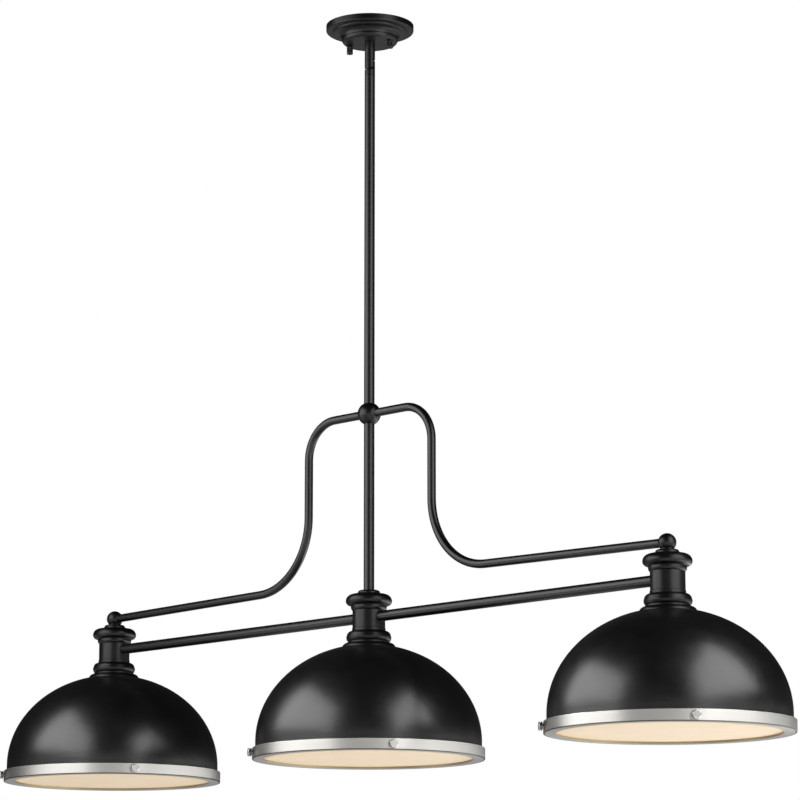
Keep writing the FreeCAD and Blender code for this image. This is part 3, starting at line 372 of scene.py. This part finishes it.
for finish, names in (
    (BLACK_TUBE, ("rod_upper", "rod_lower", "stem_lower")),
    (BLACK_TUBE, ("arm_left", "arm_right", "cross_rod_left", "cross_rod_right")),
    (BLACK_TURNED, ("stem_collar", "swivel_stem", "swivel_knuckle", "swivel_pin")),
    (BLACK_TURNED, ("hub_ball", "end_ball_left", "end_ball_right", "neck_washers")),
    (ZINC, ("stem_lock_nut", "shade_nuts")),
    (THREAD, ("rod_coupling", "threaded_nipples")),
    (JACKET, ("lead_upper", "lead_main", "lamp_wiring")),
):
    for name in names:
        dress(name, finish)
dress("canopy", BLACK_CANOPY, PRIMER, choose=looks_in)
dress("canopy_studs", THREAD, ZINC, choose=on_nut)
for side, way in SIDES.items():
    x = SPACING * way
    dress(f"neck_{side}", BLACK_TURNED)
    dress(f"shade_collar_{side}", BLACK_TURNED)
    dress(f"socket_{side}", HOLDER)
    dress(f"lens_{side}", LENS[side])
    dress(f"shade_{side}", BLACK, ENAMEL, choose=looks_at(x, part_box(f"shade_{side}")[0].z))
    dress(f"rim_band_{side}", NICKEL[side], LIP[side],
          choose=on_lip(x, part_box(f"rim_band_{side}")[0].z + 0.2 * MM))


# Detail pieces, each in the place of the plain solid that it stands for. Their sizes are in millimetres.
def span(start, end, count):
    """Evenly spaced numbers from start to end."""
    return [start + (end - start) * index / (count - 1) for index in range(count)]


def skin(form, rings, finish, spot):
    """Join neighbouring rings with faces, and move them to their spot; a ring of one point is a pole."""
    for first, second in zip(rings, rings[1:]):
        for step in range(max(len(first), len(second))):
            corners = [first[step % len(first)], first[(step + 1) % len(first)],
                       second[(step + 1) % len(second)], second[step % len(second)]]
            face = form.faces.new(list(dict.fromkeys(corners)))
            face.material_index = finish(face) if callable(finish) else finish
    bmesh.ops.transform(form, matrix=spot, verts=[point for ring in rings for point in ring])


def lathe(form, profile, steps=96, spot=Matrix(), finish=0):
    """A closed turned shape from pole to pole. A row is a radius, a level and sometimes a relief."""
    rings = []
    for radius, level, *relief in profile:
        if not radius:
            rings.append([form.verts.new((0.0, 0.0, level * MM))])
            continue
        ring = []
        for step in range(steps):
            angle = math.tau * step / steps
            reach = (radius - (relief[0](angle, level) if relief else 0.0)) * MM
            ring.append(form.verts.new((reach * math.cos(angle), reach * math.sin(angle), level * MM)))
        rings.append(ring)
    skin(form, rings, finish, spot)


def wire(form, route, radius, spot=Matrix(), finish=0, steps=20):
    """A round wire along a route that never runs along Y, closed at both ends."""
    route = [Vector(point) * MM for point in route]
    last = len(route) - 1
    rings = [[form.verts.new(route[0])]]
    for index, point in enumerate(route):
        ahead = (route[min(index + 1, last)] - route[max(index - 1, 0)]).normalized()
        side = ahead.cross(Vector((0.0, 1.0, 0.0))).normalized()
        other = ahead.cross(side)
        rings.append([form.verts.new(point + (side * math.cos(turn) + other * math.sin(turn)) * radius * MM)
                      for turn in span(0.0, math.tau, steps + 1)[:steps]])
    rings.append([form.verts.new(route[-1])])
    skin(form, rings, finish, spot)


def ribs(count, depth):
    """Straight grooves along a turned shape."""
    return lambda angle, level: depth * (0.5 - 0.5 * math.cos(count * angle))


def screw_thread(pitch, depth):
    """A right-hand thread along a turned shape."""
    return lambda angle, level: depth * (0.5 - 0.5 * math.cos(math.tau * level / pitch - angle))


def cubic(corners, count):
    """Rows along a cubic curve, from its four corners."""
    rows = []
    for t in span(0.0, 1.0, count):
        weights = ((1 - t) ** 3, 3 * (1 - t) ** 2 * t, 3 * (1 - t) * t * t, t ** 3)
        rows.append([sum(map(operator.mul, weights, values)) for values in zip(*corners)])
    return rows


def piece(form, node, slot, *finishes, crease=32.0):
    """A smooth-shaded mesh that stands for a node."""
    bmesh.ops.recalc_face_normals(form, faces=form.faces)
    mesh = bpy.data.meshes.new(f"{node}_detail")
    form.to_mesh(mesh)
    form.free()
    for finish in finishes:
        mesh.materials.append(finish)
    for face in mesh.polygons:
        face.use_smooth = True
    mesh.set_sharp_from_angle(angle=math.radians(crease))
    thing = bpy.data.objects.new(f"{node}_detail", mesh)
    bpy.context.scene.collection.objects.link(thing)
    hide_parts(node)
    return thing


def thumbscrew(side, spot):
    """A knurled screw with a waisted head, a ring turned into its face and a threaded shank; below the
    rounded edge of its face it is a darker copy of the nickel, as painted shade.
    """
    low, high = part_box(f"rim_band_{side}")
    angle = math.radians(SCREW_ANGLES[spot] + BAND_TURNS[side])
    reach = (high.x - low.x) / 2
    place = (SPACING * SIDES[side] + reach * math.cos(angle), reach * math.sin(angle), low.z + SCREW_LEVEL)
    outward = Matrix.Translation(place) @ Matrix.Rotation(angle, 4, "Z") @ Matrix.Rotation(QUARTER, 4, "Y")
    # Below this level, in millimetres, a thumbscrew takes the darker copy of its nickel: painted shade
    knurl, cut, painted_shade_top = ribs(40, 0.3), screw_thread(0.8, 0.4), 6.9
    form = bmesh.new()
    lathe(form, [
        (0, -4.2), (1.3, -4.2), (1.6, -3.9),
        *((2.0, level, cut) for level in span(-3.7, -0.1, 19)),
        (1.6, 0.1), (3.2, 0.1), (3.5, 0.4), (3.5, 2.2), (3.7, 2.4),
        (5.6, 2.4), (5.95, 2.55), (6.1, 2.9, knurl), (6.1, 3.9, knurl), (5.9, 4.3), (5.6, 4.4),
        (4.75, 4.4), (4.6, 4.6), (4.6, 5.6), (4.75, 5.8),
        (5.6, 5.8), (5.9, 5.9), (6.1, 6.2, knurl), (6.1, 6.8, knurl), (6.07, 7.0), (5.95, 7.3),
        (5.75, 7.55), (5.45, 7.73), (5.1, 7.8), (4.9, 7.8),
        (3.3, 7.8), (3.25, 7.6), (3.0, 7.6), (2.95, 7.8), (0, 7.8),
    ], steps=120, spot=outward, finish=lambda face: int(face.calc_center_median().z < painted_shade_top * MM))
    thing = piece(form, f"thumbscrew_{side}_{spot}", "nickel_screw", SCREW, SCREW_PAINTED_SHADE, crease=24.0)
    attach(thing, f"screw_{side}_{spot}")


def cap_nut(side):
    """A small round nut, knurled round its middle, with a blind bore."""
    low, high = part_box(f"cap_nut_{side}")
    middle = (low + high) / 2
    knurl = ribs(28, 0.45)
    form = bmesh.new()
    lathe(form, [
        (0, -10.8), (2.06, -10.8), (2.06, -0.5), (2.5, 0), (4.3, 0), (4.65, -0.15), (4.75, -0.5),
        (4.75, -1.6), (4.55, -1.9), (4.75, -2.3, knurl), (4.75, -8.3, knurl), (4.55, -8.7), (4.75, -9.0),
        (4.75, -10.9), (4.65, -11.35), (4.3, -11.75), (3.7, -11.97), (3.0, -12.0), (0, -12.0),
    ], steps=112, spot=Matrix.Translation((middle.x, middle.y, high.z)))
    thing = piece(form, f"cap_nut_{side}", "black_small", BLACK_TURNED)
    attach(thing, f"cap_{side}")


def bulb(side):
    """A lamp with a threaded cap, an insulated contact and a frosted envelope."""
    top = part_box(f"bulb_{side}")[1].z
    radius, globe_level, length = 30.0, -73.0, -103.0
    contact_end, insulator_end, cap_end = -0.9, -3.8, -29.0
    cut = screw_thread(3.6, 1.1)
    neck = cubic([(12.4, cap_end), (12.6, -44.0), (radius, -54.0), (radius, globe_level)], 18)
    globe = [(radius * math.cos(turn), globe_level + (length - globe_level) * math.sin(turn))
             for turn in span(0.0, QUARTER, 18)[1:-1]]

    def part(face):
        """The envelope, the cap or the insulator, by how far down a face lies."""
        level = face.calc_center_median().z / MM
        return 0 if level < cap_end else 2 if insulator_end < level < contact_end else 1

    form = bmesh.new()
    lathe(form, [
        (0, 0), (3.6, 0), (4.4, -0.25), (4.7, -0.8), (5.2, -1.0), (9.4, -2.9), (11.8, -3.7), (12.1, -4.1),
        *((13.0, level, cut) for level in span(-4.8, -24.2, 55)),
        (12.3, -24.9), (12.9, -25.6), (13.0, -26.2), (13.0, -28.4), (12.6, -28.9),
        *neck, *globe, (0, length),
    ], steps=72, spot=Matrix.Translation((SPACING * SIDES[side], 0.0, top)), finish=part)
    thing = piece(form, f"bulb_{side}", "frosted_lamp", LAMP, LAMP_CAP, HOLDER, crease=50.0)
    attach(thing, f"lamp_{side}")


def mounting_strap():
    """The bar that screws to the ceiling box, with round ends, eased edges and its row of holes."""
    low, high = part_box("mounting_strap")
    end_middle, half_width, ease = 41.0, 11.0, 0.25
    outline = [(way * (end_middle + half_width * math.cos(turn)), way * half_width * math.sin(turn))
               for way in (1, -1) for turn in span(-QUARTER, QUARTER, 25)]
    holes = [(0, 5.3), (44.45, 2.4), (-44.45, 2.4), (34.925, 2.06), (-34.925, 2.06), (14, 2.06)]
    turns = span(0.0, math.tau, 33)[:-1]
    rounds = [[(x + radius * math.cos(turn), radius * math.sin(turn)) for turn in turns]
              for x, radius in holes]
    curve = bpy.data.curves.new("strap_outline", "CURVE")
    curve.dimensions, curve.fill_mode = "2D", "BOTH"
    curve.extrude = (high.z - low.z) / 2 - ease * MM
    curve.bevel_depth, curve.bevel_resolution, curve.offset = ease * MM, 2, -ease * MM
    for points in (outline, *rounds):
        spline = curve.splines.new("POLY")
        spline.points.add(len(points) - 1)
        for point, (x, y) in zip(spline.points, points):
            point.co = (x * MM, y * MM, 0.0, 1.0)
        spline.use_cyclic_u = True
    pattern = bpy.data.objects.new("strap_outline", curve)
    form = bmesh.new()
    form.from_mesh(bpy.data.meshes.new_from_object(pattern))
    bpy.data.objects.remove(pattern)
    bmesh.ops.remove_doubles(form, verts=form.verts, dist=0.001 * MM)
    spot = Matrix.Translation((0.0, 0.0, (low.z + high.z) / 2)) @ Matrix.Rotation(STRAP_TURN, 4, "Z")
    bmesh.ops.transform(form, matrix=spot, verts=form.verts)
    thing = piece(form, "mounting_strap", "zinc_plate", ZINC)
    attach(thing, "canopy_side")


def swivel_leads():
    """Two straight cores that run down through the swivel, where it tilts."""
    low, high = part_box("swivel_leads")
    radius = (high.y - low.y) / 2 / MM
    reach = high.x / MM - radius
    form = bmesh.new()
    for way in (-1, 1):
        route = [(reach * way, 0, level) for level in span(high.z / MM, low.z / MM, 30)]
        wire(form, route, radius, finish=int(way > 0))
    thing = piece(form, "swivel_leads", "lead_jacket", JACKET, CORE_WHITE, crease=60.0)
    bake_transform(thing)


def supply_wiring():
    """The lead's tail in the canopy, split into two cores with a ribbed connector on each."""
    spot = Matrix.Rotation(STRAP_TURN + QUARTER, 4, "Z")
    start, level, bend, split, core_length = -14.5, -8.0, 6.5, 14.0, 11.0
    together, apart, connector_start = 1.15, 5.2, 20.0
    grip = ribs(14, 0.5)
    form = bmesh.new()
    curve = [(bend * (1 - math.cos(turn)), 0, start + bend * math.sin(turn))
             for turn in span(0.0, QUARTER, 12)]
    wire(form, [*curve, (split, 0, level)], 2.4, spot)
    for way in (-1, 1):
        spread = [together + (apart - together) * t * t * (3 - 2 * t) for t in span(0.0, 1.0, 12)]
        lengths = span(split - 1, split - 1 + core_length, 12)
        sweep = [(length, way * aside, level) for length, aside in zip(lengths, spread)]
        wire(form, sweep, 1.1, spot, finish=int(way > 0))
        mouth = Matrix.Translation((connector_start * MM, apart * way * MM, level * MM))
        lathe(form, [
            (0, 4.5), (2.3, 4.5), (2.8, 3.9), (4.1, 0.3), (4.5, 0), (4.85, 0.25), (4.9, 1.3), (4.6, 1.6),
            *((5.0 - 0.1 * reach, reach, grip) for reach in (2.0, 6.0, 10.0, 14.0, 16.0)),
            (3.1, 16.9), (2.6, 17.6), (1.8, 17.95), (0, 18.0),
        ], steps=84, spot=spot @ mouth @ Matrix.Rotation(QUARTER, 4, "Y"), finish=2)
    thing = piece(form, "supply_wiring", "supply_jacket", JACKET, CORE_WHITE, CONNECTOR)
    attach(thing, "canopy_side")


def ground_screw():
    """A green screw with a hexagonal head on a washer, under the strap."""
    low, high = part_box("ground_screw")
    middle = (low + high) / 2
    spot = Matrix.Translation((middle.x, middle.y, high.z))
    cut = screw_thread(0.8, 0.4)
    form = bmesh.new()
    lathe(form, [
        (0, 0), (1.6, 0), *((2.0, level, cut) for level in span(-0.2, -1.8, 9)), (2.0, -2.0),
        (4.2, -2.0), (4.5, -2.15), (4.5, -2.75), (4.2, -2.9), (0, -2.9),
    ], steps=48, spot=spot)
    lathe(form, [
        (0, -2.6), (3.7, -2.6), (3.7, -5.2), (3.3, -5.6), (2.4, -5.6), (2.1, -5.3), (0, -5.3),
    ], steps=6, spot=spot)
    thing = piece(form, "ground_screw", "ground_green", GREEN)
    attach(thing, "canopy_side")


for side in SIDES:
    for spot in SCREW_ANGLES:
        thumbscrew(side, spot)
    bulb(side)
cap_nut("left")
cap_nut("right")
mounting_strap()
swivel_leads()
supply_wiring()
ground_screw()


# Studio
def softbox(name, aside, near, far, foot, top, radiance):
    """An upright soft panel beside the row; near and far are its distances towards the camera."""
    across = Vector((math.cos(CAMERA_TURN), math.sin(CAMERA_TURN), 0.0))
    forward = Vector((math.sin(CAMERA_TURN), -math.cos(CAMERA_TURN), 0.0))
    width, height = near - far, top - foot
    data = bpy.data.lights.new(name, "AREA")
    data.shape = "RECTANGLE"
    data.size, data.size_y = width, height
    data.energy = radiance * math.pi * width * height
    light = bpy.data.objects.new(name, data)
    bpy.context.scene.collection.objects.link(light)
    light.location = across * aside + forward * (near + far) / 2 + Vector((0.0, 0.0, (foot + top) / 2))
    light.rotation_mode = "QUATERNION"
    light.rotation_quaternion = (across * -math.copysign(1.0, aside)).to_track_quat("-Z", "Y")
    light.visible_camera = False


def towards(graph, place, turn):
    """How far a place or direction lies towards a heading, in degrees to the right of the camera's."""
    angle = CAMERA_TURN + math.radians(turn)
    return graph.vector("DOT_PRODUCT", place, (math.sin(angle), -math.cos(angle), 0.0))["Value"]


def world():
    """White behind the object; for gloss, a pale backdrop low down that darkens overhead."""
    studio = bpy.data.worlds.new("studio")
    bpy.context.scene.world = studio
    graph = Graph(studio)
    paths = graph.add("ShaderNodeLightPath").outputs
    direction = graph.add("ShaderNodeTexCoord").outputs["Generated"]
    height = graph.add("ShaderNodeSeparateXYZ", Vector=direction).outputs["Z"]
    low_down = graph.between(height, 1.0, 0.0, -0.02, 0.09)
    ahead = graph.between(towards(graph, direction, 60.0), 0.05, 1.0, -0.2, 0.9)
    beside = graph.between(towards(graph, direction, -80.0), 0.0, 0.9, 0.85, 0.95)
    backdrop = graph.math("MULTIPLY", low_down, graph.math("MAXIMUM", ahead, beside))
    gloss = graph.math("MULTIPLY", paths["Is Glossy Ray"], graph.math("ADD", backdrop, 0.015))
    fill = graph.math("MULTIPLY", graph.math("SUBTRACT", 1.0, paths["Is Glossy Ray"]), 0.34)
    straight = graph.math("MAXIMUM", paths["Is Camera Ray"], paths["Is Transmission Ray"])
    level = graph.math("MAXIMUM", graph.math("ADD", gloss, fill), straight)
    light = graph.add("ShaderNodeBackground", Color=grey(1.0), Strength=level)
    graph.finish(light, "ShaderNodeOutputWorld")


def floor():
    """A plain pale floor, open to views from beneath it."""
    graph = material("pale_floor")
    paths = graph.add("ShaderNodeLightPath").outputs
    seen = graph.math("MAXIMUM", paths["Is Camera Ray"], paths["Is Transmission Ray"])
    away = towards(graph, graph.place(), 45.0)
    gloss = graph.math("MULTIPLY", paths["Is Glossy Ray"], graph.between(away, 0.05, 0.95, 0.3, 2.0))
    glow = graph.math("ADD", graph.math("MULTIPLY", seen, 0.55), gloss)
    matt = graph.add("ShaderNodeBsdfDiffuse", Color=grey(0.80))
    lift = graph.add("ShaderNodeEmission", Color=grey(1.0), Strength=glow)
    lit = graph.add("ShaderNodeAddShader", _0=matt.outputs[0], _1=lift.outputs[0])
    clear = graph.add("ShaderNodeBsdfTransparent")
    under = graph.add("ShaderNodeNewGeometry").outputs["Backfacing"]
    both = graph.add("ShaderNodeMixShader", Fac=under, _1=lit.outputs[0], _2=clear.outputs[0])
    reach, level = 30.0, -2.4
    corners = [(reach * x, reach * y, level) for x, y in ((-1, -1), (1, -1), (1, 1), (-1, 1))]
    mesh = bpy.data.meshes.new("floor")
    mesh.from_pydata(corners, [], [(0, 1, 2, 3)])
    mesh.materials.append(graph.finish(both))
    thing = bpy.data.objects.new("floor", mesh)
    bpy.context.scene.collection.objects.link(thing)


def camera():
    """The camera at the photograph's place, looking a little up at the row."""
    data = bpy.data.cameras.new("camera")
    data.sensor_width = SENSOR_WIDTH
    data.lens = FOCAL_LENGTH
    data.clip_start, data.clip_end = 0.1, 100.0
    thing = bpy.data.objects.new("camera", data)
    bpy.context.scene.collection.objects.link(thing)
    level = math.cos(CAMERA_RISE)
    ahead = Vector((-math.sin(CAMERA_TURN) * level, math.cos(CAMERA_TURN) * level, math.sin(CAMERA_RISE)))
    thing.location = CAMERA_SPOT
    thing.rotation_mode = "QUATERNION"
    thing.rotation_quaternion = ahead.to_track_quat("-Z", "Y")
    bpy.context.scene.camera = thing


camera()
world()
floor()
softbox("softbox_right", aside=1.10, near=2.30, far=0.55, foot=-0.89, top=0.60, radiance=3.2)
softbox("softbox_left", aside=-1.30, near=1.88, far=-0.32, foot=-0.88, top=0.44, radiance=3.1)
softbox("reflector_right", aside=1.10, near=0.90, far=-2.00, foot=-1.95, top=-1.20, radiance=2.3)
softbox("reflector_left", aside=-1.30, near=0.60, far=-0.30, foot=-1.80, top=-1.20, radiance=1.6)
bpy.context.scene.view_settings.view_transform = "Standard"
